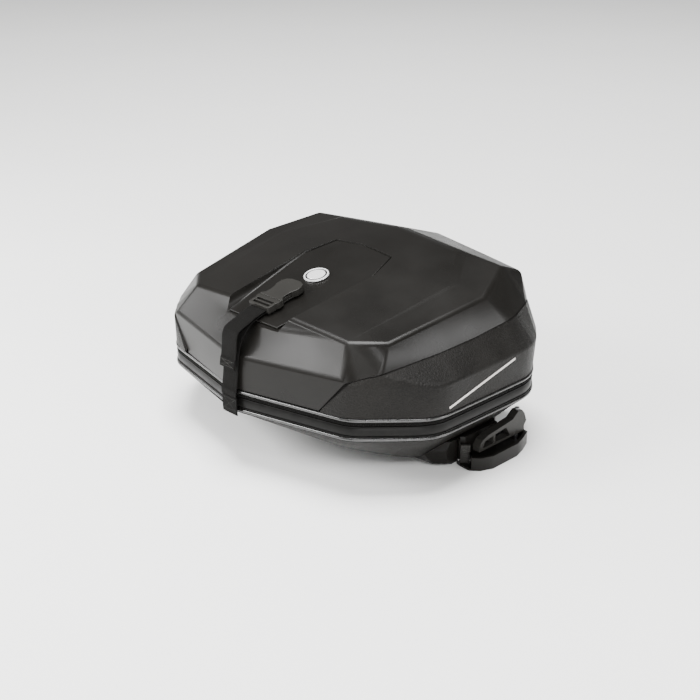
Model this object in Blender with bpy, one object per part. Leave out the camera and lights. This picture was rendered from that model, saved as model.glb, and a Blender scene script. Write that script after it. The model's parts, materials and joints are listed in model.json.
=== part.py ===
"""Semi-rigid saddlebag: moulded lid, zipped rim, wedge-shaped lower shell, over-strap and two latches.

The design is drawn in the rim frame, in millimetres: x to the right, y from the narrow strap end towards
the hinge end, z up, with the origin at the front of the upper piping's centre line. at() turns a point of
that frame into metres in the part's own frame, whose origin is on the ground under the middle of the bag.
"""

import math

import bmesh
import bpy
from mathutils import Matrix, Vector

MM = 0.001
RIM_HEIGHT = 90.0       # the upper piping's centre line above the ground
MIDDLE_Y = 175.3        # the rim frame's y of the part's origin
GAP = 0.3               # clearance between touching pieces
WALL = 2.5              # moulded wall thickness

# Corners of the rim in plan, right half, from the front centre to the rear centre.
RIM_FRONT = (0, 0)
RIM_CORNER_1 = (149.5, 37)
RIM_CORNER_2 = (213, 105)
RIM_CORNER_3 = (213, 271)
RIM_CORNER_4 = (160, 335)
RIM_REAR = (0, 352)
SIDE_STOPS = (150, 215)  # y of the two intermediate points on the straight side

# Heights of the rim stack, from the piping down.
PIPING_RADIUS = 2.1
LOWER_PIPING_Z = -22.0
TAPE_TOP = -2.4
TAPE_SPLIT = -4.4
TAPE_BOTTOM = -6.1
BAND_BOTTOM = -19.6
SHELL_TOP = -6.5
SHELL_STEP_Z = -24.5

# Strap and buckle.
STRAP_HALF = 12.5
STRAP_THICK = 1.5
BUCKLE_HALF = 17.0
FLOOR_SLOPE = math.atan(0.237)
BUCKLE_FRONT_Y = 46.0
BUCKLE_FRONT_Z = 81.4
PLUG_LENGTH = 18.0
SOCKET_LENGTH = 42.0

# Hinge line of the lid.
HINGE_Y = 356.0
HINGE_Z = -2.3

# Mounting latches.
LATCH_PIVOT = (198.0, 264.0)
TAB_PIVOT = (190.0, 182.5, -84.0)
GROUND = -RIM_HEIGHT


def at(x, y, z):
    return Vector((x, y - MIDDLE_Y, z + RIM_HEIGHT)) * MM


# ---------------------------------------------------------------- materials

def material(name, colour, roughness, metallic=0.0):
    mat = bpy.data.materials.new(name)
    mat.use_nodes = True
    shader = mat.node_tree.nodes["Principled BSDF"]
    shader.inputs["Base Color"].default_value = (*colour, 1.0)
    shader.inputs["Roughness"].default_value = roughness
    shader.inputs["Metallic"].default_value = metallic
    mat.diffuse_color = (*colour, 1.0)
    return mat


def make_materials():
    return {
        "smooth": material("moulded_satin", (0.022, 0.021, 0.019), 0.38),
        "textured": material("moulded_grain", (0.035, 0.034, 0.031), 0.62),
        "rubber": material("soft_trim", (0.012, 0.012, 0.011), 0.5),
        "webbing": material("webbing", (0.018, 0.018, 0.017), 0.85),
        "nylon": material("nylon", (0.025, 0.025, 0.023), 0.45),
        "steel": material("steel", (0.42, 0.42, 0.43), 0.35, 1.0),
        "silver": material("silver_trim", (0.75, 0.75, 0.76), 0.3, 1.0),
        "dark_enamel": material("dark_enamel", (0.01, 0.01, 0.01), 0.3),
        "board": material("stiffener_board", (0.05, 0.05, 0.05), 0.7),
    }


# ---------------------------------------------------------------- outlines

def rounded(stops):
    """Points along a corner list. Each stop is (point, cut, count): a corner cut back by that length and
    rounded with that many points, or a plain point where count is 1."""
    out = []
    for i, (corner, cut, count) in enumerate(stops):
        corner = Vector(corner)
        if count == 1:
            out.append(corner)
            continue
        before = Vector(stops[i - 1][0]) - corner
        after = Vector(stops[i + 1][0]) - corner
        start = corner + before.normalized() * min(cut, before.length * 0.48)
        end = corner + after.normalized() * min(cut, after.length * 0.48)
        for k in range(count):
            t = k / (count - 1)
            out.append(start * (1 - t) ** 2 + corner * (2 * t * (1 - t)) + end * t ** 2)
    return out


def half_row(front, corner_1, corner_2, side_1, side_2, corner_3, corner_4, rear, cuts):
    return rounded([
        (front, 0, 1), (corner_1, cuts[0], 4), (corner_2, cuts[1], 5), (side_1, 0, 1), (side_2, 0, 1),
        (corner_3, cuts[2], 5), (corner_4, cuts[3], 5), (rear, 0, 1),
    ])


def full_loop(half):
    """The half row and its mirror image, as one closed loop."""
    left = [Vector((-p.x, p.y, p.z)) for p in reversed(half[1:-1])]
    return half + left


def rim_half(z):
    corners = (RIM_FRONT, RIM_CORNER_1, RIM_CORNER_2, (RIM_CORNER_2[0], SIDE_STOPS[0]),
               (RIM_CORNER_2[0], SIDE_STOPS[1]), RIM_CORNER_3, RIM_CORNER_4, RIM_REAR)
    return half_row(*[(x, y, z) for x, y in corners], cuts=(16, 24, 24, 34))


def shrink(loop, inward, drop=0.0):
    """Moves a closed loop inward in plan by a distance, and down by drop."""
    out = []
    count = len(loop)
    for i, p in enumerate(loop):
        a = (p - loop[i - 1]).to_2d().normalized()
        b = (loop[(i + 1) % count] - p).to_2d().normalized()
        normal = Vector((-(a.y + b.y), a.x + b.x)).normalized()
        mitre = 1.0 / max(0.6, normal.dot(Vector((-a.y, a.x))))
        out.append(Vector((p.x + normal.x * inward * mitre, p.y + normal.y * inward * mitre, p.z - drop)))
    return out


# ---------------------------------------------------------------- solids

def make_object(name, bm, mat, smooth=False):
    """Turns a mesh drawn in the rim frame into an object in the part's frame."""
    bmesh.ops.remove_doubles(bm, verts=bm.verts, dist=0.001)
    bmesh.ops.recalc_face_normals(bm, faces=bm.faces)
    for v in bm.verts:
        v.co = at(*v.co)
    mesh = bpy.data.meshes.new(name)
    bm.to_mesh(mesh)
    bm.free()
    if smooth:
        mesh.shade_smooth()
        mesh.set_sharp_from_angle(angle=math.radians(35))
    obj = bpy.data.objects.new(name, mesh)
    bpy.context.scene.collection.objects.link(obj)
    if mat:
        mesh.materials.append(mat)
    return obj


def set_origin(obj, point):
    """Puts the object's origin at a point of the rim frame without moving its shape."""
    place = at(*point)
    obj.data.transform(Matrix.Translation(-place))
    obj.location = place


def bridge(bm, row_a, row_b, closed=True):
    count = len(row_a)
    for i in range(count if closed else count - 1):
        j = (i + 1) % count
        bm.faces.new((row_a[i], row_a[j], row_b[j], row_b[i]))


def ladder(bm, row):
    """Fills a mirrored loop with faces that run straight across from each side to the other."""
    half = len(row) // 2
    right = row[:half + 1]
    left = [row[0]] + row[:half - 1:-1]
    for i in range(half):
        corners = []
        for v in (right[i], right[i + 1], left[i + 1], left[i]):
            if v not in corners:
                corners.append(v)
        bm.faces.new(corners)


def verts(bm, points):
    return [bm.verts.new(p) for p in points]


def ring(name, sections, mat, smooth=False):
    """A closed ring: each section is a loop of the same length, joined one to the next and back."""
    bm = bmesh.new()
    rows = [verts(bm, loop) for loop in sections]
    for i, row in enumerate(rows):
        bridge(bm, row, rows[(i + 1) % len(rows)])
    return make_object(name, bm, mat, smooth)


def prism(name, outline, low, high, mat, side="z", smooth=False):
    """An outline extruded along one axis. side names the axis; the outline's pair is the other two."""
    bm = bmesh.new()
    place = {
        "z": lambda a, b, c: (a, b, c),
        "x": lambda a, b, c: (c, a, b),
    }[side]
    bottom = verts(bm, [place(a, b, low) for a, b in outline])
    top = verts(bm, [place(a, b, high) for a, b in outline])
    bridge(bm, bottom, top)
    bm.faces.new(bottom)
    bm.faces.new(top)
    return make_object(name, bm, mat, smooth)


def stack(name, rows, mat):
    """Plan outlines at rising heights, lofted and capped at both ends."""
    bm = bmesh.new()
    loops = [verts(bm, row) for row in rows]
    for a, b in zip(loops, loops[1:]):
        bridge(bm, a, b)
    bm.faces.new(loops[0])
    bm.faces.new(loops[-1])
    return make_object(name, bm, mat)


def circle(x, y, radius, count=12):
    step = 2 * math.pi / count
    return [(x + radius * math.cos(i * step), y + radius * math.sin(i * step)) for i in range(count)]


def rod(name, start, end, radius, mat, count=10):
    """A round bar between two points of the rim frame."""
    start, end = Vector(start), Vector(end)
    turn = (end - start).to_track_quat("Z", "Y")
    bm = bmesh.new()
    rows = []
    for centre in (start, end):
        rows.append(verts(bm, [centre + turn @ Vector((x, y, 0)) for x, y in circle(0, 0, radius, count)]))
    bridge(bm, rows[0], rows[1])
    bm.faces.new(rows[0])
    bm.faces.new(rows[1])
    return make_object(name, bm, mat, smooth=True)


def combine(obj, guide, operation):
    """Adds a hidden guide solid to an object, or takes it away."""
    guide.hide_render = True
    guide.display_type = "WIRE"
    mod = obj.modifiers.new(guide.name, "BOOLEAN")
    mod.operation = operation
    mod.object = guide
    mod.solver = "EXACT"


def cut(obj, cutter):
    combine(obj, cutter, "DIFFERENCE")


def join(obj, solid):
    combine(obj, solid, "UNION")


def ribbon(name, path, left, right, thick, mat):
    """Webbing of an even thickness that follows a side-view path of (y, z) points between two x values."""
    bm = bmesh.new()
    points = [Vector(p) for p in path]
    upper, lower = [], []
    for i, p in enumerate(points):
        along = (points[min(i + 1, len(points) - 1)] - points[max(i - 1, 0)]).normalized()
        normal = Vector((-along.y, along.x)) * (thick / 2)
        upper.append(p + normal)
        lower.append(p - normal)
    section = upper + lower[::-1]
    rows = [verts(bm, [(x, p.x, p.y) for p in section]) for x in (left, right)]
    bridge(bm, rows[0], rows[1])
    bm.faces.new(rows[0])
    bm.faces.new(rows[1])
    return make_object(name, bm, mat)


# ---------------------------------------------------------------- lower shell and rim

def shell_rows():
    """Outer rows of the lower shell, from the zip down to the bottom edge."""
    top = full_loop(rim_half(SHELL_TOP))
    chine = full_loop(half_row(
        (0, 7, -28), (141, 43, -33), (199, 109, -37), (199, 150, -37), (199, 215, -37),
        (199, 264, -37), (150, 323, -37), (0, 340, -37), cuts=(16, 24, 26, 34)))
    bottom = full_loop(half_row(
        (0, 13, -31), (122, 60, -50), (152, 113, -69), (157, 142, -78), (158, 215, -78),
        (158, 250, -78), (125, 302, -78), (0, 320, -78), cuts=(16, 14, 16, 26)))
    recess = GAP + 3.2
    step = SHELL_STEP_Z - SHELL_TOP
    return [
        shrink(top, recess),
        shrink(top, recess, -step),
        shrink(top, 0.8, -step + 0.4),
        chine,
        bottom,
    ]


def make_lower_shell(mats):
    outer = shell_rows()
    wall = 2.8
    inner = [
        shrink(outer[0], wall),
        shrink(outer[1], wall, 2.0),
        shrink(outer[2], wall + 3.0, 2.0),
        shrink(outer[3], wall, -2.4),
        shrink(outer[4], 1.5, -wall),
    ]
    bm = bmesh.new()
    out_rows = [verts(bm, r) for r in outer]
    in_rows = [verts(bm, r) for r in inner]
    for rows in (out_rows, in_rows):
        for a, b in zip(rows, rows[1:]):
            bridge(bm, a, b)
        ladder(bm, rows[-1])
    bridge(bm, out_rows[0], in_rows[0])
    return make_object("lower_shell", bm, mats["textured"])


def shell_cutter():
    """The lower shell's outside, grown by the gap, for trimming what it sits on."""
    rows = shell_rows()[2:]
    grown = [shrink(r, -GAP, GAP) for r in rows]
    bm = bmesh.new()
    loops = [verts(bm, r) for r in grown]
    for a, b in zip(loops, loops[1:]):
        bridge(bm, a, b)
    ladder(bm, loops[0])
    ladder(bm, loops[-1])
    return make_object("cut_shell_seat", bm, None)


def band_ring(name, top, bottom, outside, mat):
    loop = full_loop(rim_half(0))
    outer, inner = shrink(loop, outside), shrink(loop, 3.2)
    lift = [Vector((0, 0, top)), Vector((0, 0, bottom))]
    sections = [[p + lift[0] for p in outer], [p + lift[0] for p in inner],
                [p + lift[1] for p in inner], [p + lift[1] for p in outer]]
    return ring(name, sections, mat)


def piping(name, z, mat):
    loop = full_loop(rim_half(z))
    sections = []
    for i in range(6):
        angle = math.radians(60 * i + 30)
        moved = shrink(loop, 1.0 - PIPING_RADIUS * math.cos(angle), -PIPING_RADIUS * math.sin(angle))
        sections.append(moved)
    return ring(name, sections, mat, smooth=True)


def make_rim(mats):
    piping("upper_piping", 0.0, mats["rubber"])
    piping("lower_piping", LOWER_PIPING_Z, mats["rubber"])
    band_ring("zip_tape_upper", TAPE_TOP, TAPE_SPLIT + GAP / 2, 0.4, mats["webbing"])
    band_ring("zip_tape_lower", TAPE_SPLIT - GAP / 2, TAPE_BOTTOM, 0.4, mats["webbing"])
    band_ring("rim_band", SHELL_TOP, BAND_BOTTOM, 0.0, mats["rubber"])


def make_hinge_strip(mats):
    """Fabric hinge over the parting line, along the rear edge."""
    rear = [p for p in rim_half(0) if p.y > RIM_CORNER_4[1] - 6]
    line = rear + [Vector((-p.x, p.y, 0)) for p in reversed(rear[:-1])]
    bm = bmesh.new()
    rows = []
    for out, z in ((0.5, -3.2), (1.9, -3.2), (1.9, -18.5), (0.5, -18.5)):
        rows.append(verts(bm, [Vector((p.x, p.y + out, z)) for p in line]))
    for i, row in enumerate(rows):
        bridge(bm, row, rows[(i + 1) % 4], closed=False)
    bm.faces.new([row[0] for row in rows])
    bm.faces.new([row[-1] for row in rows])
    return make_object("hinge_strip", bm, mats["webbing"])


# ---------------------------------------------------------------- lid

COVER = {
    "front_low": (0, 1.2, 3), "front_foot": (112, 28.8, 3), "front_rise": (0, 4.3, 40.5),
    "bevel_corner": (140, 35.6, 46), "deck_corner": (127, 58, 77.5), "shoulder_front": (161, 85.7, 78.7),
    "shoulder_side": (179.7, 216.5, 100.7), "shoulder_rear": (153, 280, 115.3),
    "back_corner": (158, 309, 104.5), "back_side": (93, 325, 105), "back_tip": (0, 347, 105.5),
    "step_side": (143, 216, 105.6), "step_rear": (105, 276, 121), "step_tip": (0, 283, 127.5),
    "deck_side": (139.5, 203, 106.8), "deck_rear": (96, 266.5, 123), "deck_tip": (0, 270, 130),
    "recess_front": (51.7, 46.3, 87.3), "recess_side": (59.6, 167.5, 109.4),
    "recess_rear": (46.8, 210.3, 117.8), "recess_tip": (0, 213, 121.4),
    "floor_mouth": (0, 31, 75.4), "floor_front": (41.5, 34.6, 73.8), "floor_side": (59, 166.8, 105.2),
    "floor_rear": (46.3, 209.6, 114.4), "floor_tip": (0, 212, 118),
}
COVER_FACES = [
    ("front_rise", "bevel_corner", "deck_corner", "recess_front", "floor_front", "floor_mouth"),
    ("back_corner", "back_side", "back_tip", "step_tip", "step_rear", "shoulder_rear"),
    ("deck_corner", "shoulder_front", "shoulder_side", "step_side"),
    ("shoulder_side", "shoulder_rear", "step_rear", "step_side"),
    ("deck_corner", "step_side", "deck_side"),
    ("step_side", "step_rear", "deck_rear", "deck_side"),
    ("step_rear", "step_tip", "deck_tip", "deck_rear"),
    ("deck_corner", "deck_side", "recess_side", "recess_front"),
    ("deck_side", "deck_rear", "recess_rear", "recess_side"),
    ("deck_rear", "deck_tip", "recess_tip", "recess_rear"),
    ("recess_front", "recess_side", "floor_side", "floor_front"),
    ("recess_side", "recess_rear", "floor_rear", "floor_side"),
    ("recess_rear", "recess_tip", "floor_tip", "floor_rear"),
    ("floor_mouth", "floor_front", "floor_side"),
    ("floor_mouth", "floor_side", "floor_tip"),
    ("floor_side", "floor_rear", "floor_tip"),
]


def seam_row():
    """Where the smooth cover meets the grained side panels, right half."""
    return half_row((150, 41.7, 44.7), (156, 49, 47.6), (170, 66, 52), (182, 142, 57.2), (190, 192, 63.5),
                    (197.5, 248, 73.5), (172, 314, 77), (0, 349, 76), cuts=(3, 6, 14, 26))


def crease_row():
    return half_row((145.3, 35.7, 38), (152, 39.5, 38.5), (214.5, 110, 37), (214.5, 152, 37.2),
                    (214.8, 215, 37.8), (215, 272, 39), (163, 337, 40), (0, 353.5, 40), cuts=(9, 22, 26, 34))


def foot_row():
    return half_row((114.5, 26.2, 2.7), RIM_CORNER_1 + (2.7,), RIM_CORNER_2 + (2.7,),
                    (RIM_CORNER_2[0], SIDE_STOPS[0], 2.7), (RIM_CORNER_2[0], SIDE_STOPS[1], 2.7),
                    RIM_CORNER_3 + (2.7,), RIM_CORNER_4 + (2.7,), RIM_REAR + (2.7,), cuts=(16, 24, 24, 34))


CORNER_2_MIDDLE, CORNER_3_MIDDLE, CORNER_4_MIDDLE = 7, 13, 18   # columns of a half row


def thicken(bm, thickness):
    """Gives an open surface a wall on its inner side and closes its edges."""
    bmesh.ops.recalc_face_normals(bm, faces=bm.faces)
    middle = Vector((0, 180, 30))
    biggest = max(bm.faces, key=lambda f: f.calc_area())
    if biggest.normal.dot(biggest.calc_center_median() - middle) < 0:
        bmesh.ops.reverse_faces(bm, faces=bm.faces)
    bm.normal_update()
    inner = {v: bm.verts.new(v.co - v.normal * thickness * v.calc_shell_factor()) for v in bm.verts[:]}
    faces = bm.faces[:]
    border = [e for e in bm.edges if e.is_boundary]
    for face in faces:
        bm.faces.new([inner[v] for v in reversed(face.verts)])
    for edge in border:
        a, b = edge.verts
        bm.faces.new((a, b, inner[b], inner[a]))


def make_lid_cover(mats):
    bm = bmesh.new()
    seam = seam_row()
    for side in (1, -1):
        named = {k: bm.verts.new((side * x, y, z)) for k, (x, y, z) in COVER.items()}
        edge = verts(bm, [(side * p.x, p.y, p.z) for p in seam])
        for names in COVER_FACES:
            bm.faces.new([named[n] for n in names])
        bm.faces.new([named["front_low"], named["front_foot"], edge[0], named["bevel_corner"],
                      named["front_rise"]])
        bm.faces.new([named["bevel_corner"]] + edge[:CORNER_2_MIDDLE + 1]
                     + [named["shoulder_front"], named["deck_corner"]])
        bm.faces.new(edge[CORNER_2_MIDDLE:CORNER_3_MIDDLE + 1]
                     + [named["shoulder_side"], named["shoulder_front"]])
        bm.faces.new(edge[CORNER_3_MIDDLE:CORNER_4_MIDDLE + 1]
                     + [named["back_corner"], named["shoulder_rear"], named["shoulder_side"]])
        bm.faces.new(edge[CORNER_4_MIDDLE:] + [named["back_tip"], named["back_side"], named["back_corner"]])
    bmesh.ops.remove_doubles(bm, verts=bm.verts, dist=0.001)
    bmesh.ops.triangulate(bm, faces=bm.faces)
    thicken(bm, WALL)
    return make_object("lid_cover", bm, mats["smooth"])


def panel(name, columns, mirror, mats):
    """A grained panel between the rim and the seam, over a range of the half row's columns."""
    bm = bmesh.new()
    rows = []
    away = 1.7
    for row, lift in ((foot_row(), 0.0), (crease_row(), 0.0), (seam_row(), -away)):
        picked = []
        for i in columns:
            p = row[abs(i)]
            x = -p.x if (i < 0) != mirror else p.x
            picked.append(Vector((x, p.y, p.z + lift)))
        rows.append(picked)
    for i, p in enumerate(rows[2]):
        outward = (rows[1][i] - p).to_2d().normalized() * away
        rows[2][i] = Vector((p.x + outward.x, p.y + outward.y, p.z))
    loops = [verts(bm, row) for row in rows]
    bridge(bm, loops[0], loops[1], closed=False)
    bridge(bm, loops[1], loops[2], closed=False)
    bmesh.ops.triangulate(bm, faces=bm.faces)
    thicken(bm, WALL)
    return make_object(name, bm, mats["textured"])


def make_panels(mats):
    last = len(seam_row()) - 1
    side = list(range(0, CORNER_4_MIDDLE + 1))
    panel("side_panel_right", side, False, mats)
    panel("side_panel_left", side, True, mats)
    rear = list(range(CORNER_4_MIDDLE, last + 1)) + [-i for i in range(last - 1, CORNER_4_MIDDLE - 1, -1)]
    trimmed = panel("rear_panel", rear, False, mats)
    trim_ends(trimmed, seam_row()[CORNER_4_MIDDLE].x)


def trim_ends(obj, half_width):
    """Shortens the rear panel at both ends by the assembly gap."""
    for v in obj.data.vertices:
        if abs(v.co.x) > half_width * MM * 0.5:
            v.co.x -= math.copysign(2.5 * GAP * MM, v.co.x)


def make_centre_insert(mats):
    """Trim panel on the floor of the lid's recess, just above it and folded along the same lines."""
    thick = 2.0
    corners = ("floor_mouth", "floor_front", "floor_side", "floor_rear", "floor_tip")
    right = [Vector(COVER[n]) for n in corners]
    loop = right + [Vector((-p.x, p.y, p.z)) for p in reversed(right[1:-1])]
    low = shrink(loop, 1.2, -GAP - 0.2)
    bm = bmesh.new()
    bottom = verts(bm, low)
    top = verts(bm, [p + Vector((0, 0, thick)) for p in low])
    bridge(bm, bottom, top)
    for v in (bottom, top):
        for fold in ((0, 1, 2), (0, 2, 4), (2, 3, 4), (0, 7, 6), (0, 6, 4), (6, 5, 4)):
            bm.faces.new([v[i] for i in fold])
    return make_object("centre_insert", bm, mats["smooth"])


def make_badge(mats):
    centre = (0, 133.0, 101.2)
    tilt = Matrix.Rotation(FLOOR_SLOPE, 3, "X")
    for name, low, high, radius, mat in (
        ("badge_base", 1.2, 2.0, 15.0, "silver"), ("badge_disc", 2.3, 2.9, 12.5, "dark_enamel"),
    ):
        bm = bmesh.new()
        rows = []
        for h in (low, high):
            flat = [tilt @ Vector((x, y, h)) + Vector(centre) for x, y in circle(0, 0, radius, 32)]
            rows.append(verts(bm, flat))
        bridge(bm, rows[0], rows[1])
        bm.faces.new(rows[0])
        bm.faces.new(rows[1])
        make_object(name, bm, mats[mat], smooth=True)


# ---------------------------------------------------------------- strap and buckle

def on_floor(x, along, up):
    """A point of the buckle's own frame: along runs up the recess floor from the buckle's front edge."""
    turn = Matrix.Rotation(FLOOR_SLOPE, 3, "X")
    return turn @ Vector((x, along, up)) + Vector((0, BUCKLE_FRONT_Y, BUCKLE_FRONT_Z))


def floor_prism(name, outline, low, high, mat):
    """An outline of (x, along) pairs, standing between two heights over the recess floor."""
    bm = bmesh.new()
    bottom = verts(bm, [on_floor(x, a, low) for x, a in outline])
    top = verts(bm, [on_floor(x, a, high) for x, a in outline])
    bridge(bm, bottom, top)
    bm.faces.new(bottom)
    bm.faces.new(top)
    return make_object(name, bm, mat)


def make_buckle(mats):
    half = BUCKLE_HALF
    end = PLUG_LENGTH + SOCKET_LENGTH
    mouth = PLUG_LENGTH + GAP
    low, high = 1.2, 9.4
    socket = floor_prism("buckle_socket", [
        (-half - 1, mouth), (half + 1, mouth), (half + 1, mouth + 3), (half - 2.6, mouth + 6),
        (half - 3.6, mouth + 13), (half - 2.4, mouth + 20), (half, mouth + 26), (half - 0.4, end - 8),
        (half - 3.4, end - 3), (half - 10, end), (-half + 10, end), (-half + 3.4, end - 3),
        (-half + 0.4, end - 8), (-half, mouth + 26), (-half + 2.4, mouth + 20), (-half + 3.6, mouth + 13),
        (-half + 2.6, mouth + 6), (-half - 1, mouth + 3),
    ], low, high, mats["nylon"])
    slot_half = half - 2.6
    slot = [(-slot_half, mouth - 3), (slot_half, mouth - 3), (slot_half, mouth + 26), (-slot_half, mouth + 26)]
    cut(socket, floor_prism("cut_socket_slot", slot, 2.9, 7.6, None))

    plug = floor_prism("buckle_plug", [
        (-half + 1, 0), (half - 1, 0), (half, 3), (half, 12), (half + 1.5, 14), (half + 1.5, PLUG_LENGTH),
        (5, PLUG_LENGTH), (5, PLUG_LENGTH + 24), (-5, PLUG_LENGTH + 24), (-5, PLUG_LENGTH),
        (-half - 1.5, PLUG_LENGTH), (-half - 1.5, 14), (-half, 12), (-half, 3),
    ], 3.4, 7.2, mats["nylon"])
    body = floor_prism("buckle_frame", [
        (-half + 1, 0), (half - 1, 0), (half, 3), (half, 12), (half + 1.5, 14), (half + 1.5, PLUG_LENGTH),
        (-half - 1.5, PLUG_LENGTH), (-half - 1.5, 14), (-half, 12), (-half, 3),
    ], 1.2, 9.0, mats["nylon"])
    join(plug, body)
    web_half = STRAP_HALF + 0.8
    for name, near, far in (("cut_web_slot_front", 3.0, 6.4), ("cut_web_slot_rear", 9.0, 12.4)):
        slot = [(-web_half, near), (web_half, near), (web_half, far), (-web_half, far)]
        cut(plug, floor_prism(name, slot, 0.0, 12.0, None))

    for label, side in (("right", 1), ("left", -1)):
        outline = [(5.6, 1.0), (9.0, 0.6), (13.6, 6.0), (13.9, 20.0), (12.4, 25.0), (9.2, 25.0), (10.4, 19.0),
                   (9.6, 8.0), (5.6, 4.6)]
        points = [(side * x, PLUG_LENGTH + a) for x, a in outline]
        arm = floor_prism(f"buckle_arm_{label}", points[::side], 3.5, 7.0, mats["nylon"])
        set_origin(arm, on_floor(side * 7.0, PLUG_LENGTH + 2.5, 5.2))

    under = [on_floor(0, a, 0.5) for a in (mouth + 6, end - 2)]
    ribbon("socket_tab", [(p.y, p.z) for p in under], -STRAP_HALF, STRAP_HALF, 0.6, mats["webbing"])


STRAP_PATH = [(45.4, 83.2), (38, 81.6), (30, 78.8), (21.5, 74.4), (13.8, 67.5), (8.4, 59), (5.2, 50),
              (3.2, 40.5), (1.3, 21), (-0.9, 5), (-2.2, 1.5), (-2.4, -5.5)]
TAIL_PATH = [(44.8, 85.6), (38, 84.0), (30, 81.9), (20.5, 77.8), (11.5, 74.4), (4.6, 70.4), (1.6, 63),
             (0.8, 52), (-0.8, 40), (-2.6, 28.4)]
ANCHOR_PATH = [(-2.4, -6.1), (-2.4, -21.5), (-1.9, -26.6)]


def make_strap(mats):
    ribbon("strap_webbing", STRAP_PATH, -STRAP_HALF, STRAP_HALF, STRAP_THICK, mats["webbing"])
    ribbon("strap_tail", TAIL_PATH, -STRAP_HALF, STRAP_HALF, STRAP_THICK, mats["webbing"])
    ribbon("strap_anchor", ANCHOR_PATH, -STRAP_HALF + 1, STRAP_HALF + 1, STRAP_THICK, mats["webbing"])


# ---------------------------------------------------------------- zip sliders

SLIDER_X = RIM_CORNER_2[0] + 0.3
SLIDER_FACE = SLIDER_X + 3.2
SLIDER_TOP, SLIDER_BOTTOM = -2.8, -8.6
SLIDERS = (("front", 186.0, -1), ("rear", 203.0, 1))
EAR_THICK = 1.1
PULL_GAP = 0.5
PULL_THICK = 2.0
PULL_LENGTH = 30.0
PULL_PIVOT_X = -SLIDER_FACE - PULL_GAP - PULL_THICK / 2
PULL_Z = (SLIDER_TOP + SLIDER_BOTTOM) / 2


def make_slider(label, y, mats):
    """Slider body with two ears and a cross pin that hold the pull."""
    steel = mats["steel"]
    slider = prism(f"zip_slider_{label}", [
        (-SLIDER_FACE, y - 5), (-SLIDER_X, y - 7), (-SLIDER_X, y + 7), (-SLIDER_FACE, y + 5),
    ], SLIDER_BOTTOM, SLIDER_TOP, steel)
    ear = [(PULL_PIVOT_X - 0.9, y - 0.7), (PULL_PIVOT_X, y - 1.3), (-SLIDER_X - 1, y - 1.6),
           (-SLIDER_X - 1, y + 1.6), (PULL_PIVOT_X, y + 1.3), (PULL_PIVOT_X - 0.9, y + 0.7)]
    for name, low in (("lower", SLIDER_BOTTOM), ("upper", SLIDER_TOP - EAR_THICK)):
        join(slider, prism(f"ear_{name}_{label}", ear, low, low + EAR_THICK, steel))
    pin_ends = [(PULL_PIVOT_X, y, z) for z in (SLIDER_BOTTOM + 0.4, SLIDER_TOP - 0.4)]
    join(slider, rod(f"pull_pin_{label}", *pin_ends, 0.45, steel, 8))


def make_pull(label, y, away, mats):
    """Flat pull tab, narrow where it turns between the slider's ears."""
    half = [(-0.8, 1.5), (3.0, 1.5), (4.5, 2.4), (PULL_LENGTH - 2, 2.4), (PULL_LENGTH, 1.4)]
    outline = [(y + away * a, PULL_Z - h) for a, h in half]
    outline += [(y + away * a, PULL_Z + h) for a, h in reversed(half)]
    pull = prism(f"zip_pull_{label}", outline, PULL_PIVOT_X - PULL_THICK / 2, PULL_PIVOT_X + PULL_THICK / 2,
                 mats["rubber"], side="x")
    bore_ends = [(PULL_PIVOT_X, y, z) for z in (SLIDER_BOTTOM - 2, SLIDER_TOP + 2)]
    cut(pull, rod(f"cut_pull_bore_{label}", *bore_ends, 0.45 + 0.2, None, 8))
    set_origin(pull, (PULL_PIVOT_X, y, PULL_Z))


def make_sliders(mats):
    """Two sliders that meet on the left side, each with a pull that points away from the other."""
    for label, y, away in SLIDERS:
        make_slider(label, y, mats)
        make_pull(label, y, away, mats)


# ---------------------------------------------------------------- base bracket and fasteners

SCREWS = ((-125, 172), (125, 172), (-125, 238), (125, 238))


def make_bracket(mats):
    """Moulded bracket under the shell: its bottom is the face that rests on the vehicle's rack."""
    def row(front, side, z, corner=0):
        right = [(140 - corner, front), (side - 12 - corner, front + 3), (side, front + 15 + corner),
                 (side, 244), (150, 286)]
        return [(x, y, z) for x, y in right] + [(-x, y, z) for x, y in reversed(right)]
    bracket = stack("base_bracket", [
        row(158, 178.5, GROUND), row(148, 180.8, GROUND + 5), row(137, 181.4, -68, 8), row(134, 181.4, -59, 18),
    ], mats["smooth"])
    cut(bracket, shell_cutter())
    pocket = [(-100, 160), (100, 160), (100, 262), (-100, 262)]
    cut(bracket, prism("cut_bracket_pocket", pocket, GROUND + 5, -60, None))
    for i, (x, y) in enumerate(SCREWS):
        cut(bracket, prism(f"cut_bracket_hole_{i}", circle(x, y, 3.3), GROUND + 3, -60, None))
    return bracket


def make_stiffener(shell, mats):
    """Board on the bag's floor that spreads the load of the four bracket screws."""
    outline = [(-142, 152), (142, 152), (142, 246), (-142, 246)]
    low, high = -78 + 2.8 + GAP, -78 + 2.8 + GAP + 3
    board = prism("floor_stiffener", outline, low, high, mats["board"])
    for i, (x, y) in enumerate(SCREWS):
        hole = prism(f"cut_screw_hole_{i}", circle(x, y, 3.3), -84, high + 5, None)
        cut(shell, hole)
        cut(board, hole)
        screw = bmesh.new()
        loops = []
        for radius, z in ((3.0, -86), (3.0, high + GAP), (6.0, high + GAP), (5.2, high + 3)):
            loops.append(verts(screw, [(a, b, z) for a, b in circle(x, y, radius)]))
        for a, b in zip(loops, loops[1:]):
            bridge(screw, a, b)
        screw.faces.new(loops[0])
        screw.faces.new(loops[-1])
        make_object(f"bracket_screw_{i + 1}", screw, mats["steel"], smooth=True)


# ---------------------------------------------------------------- mounting latches

def sided(points, side):
    """Mirrors a plan outline for the left latch, keeping its winding."""
    return [(side * x, y) for x, y in points][::side]


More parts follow.
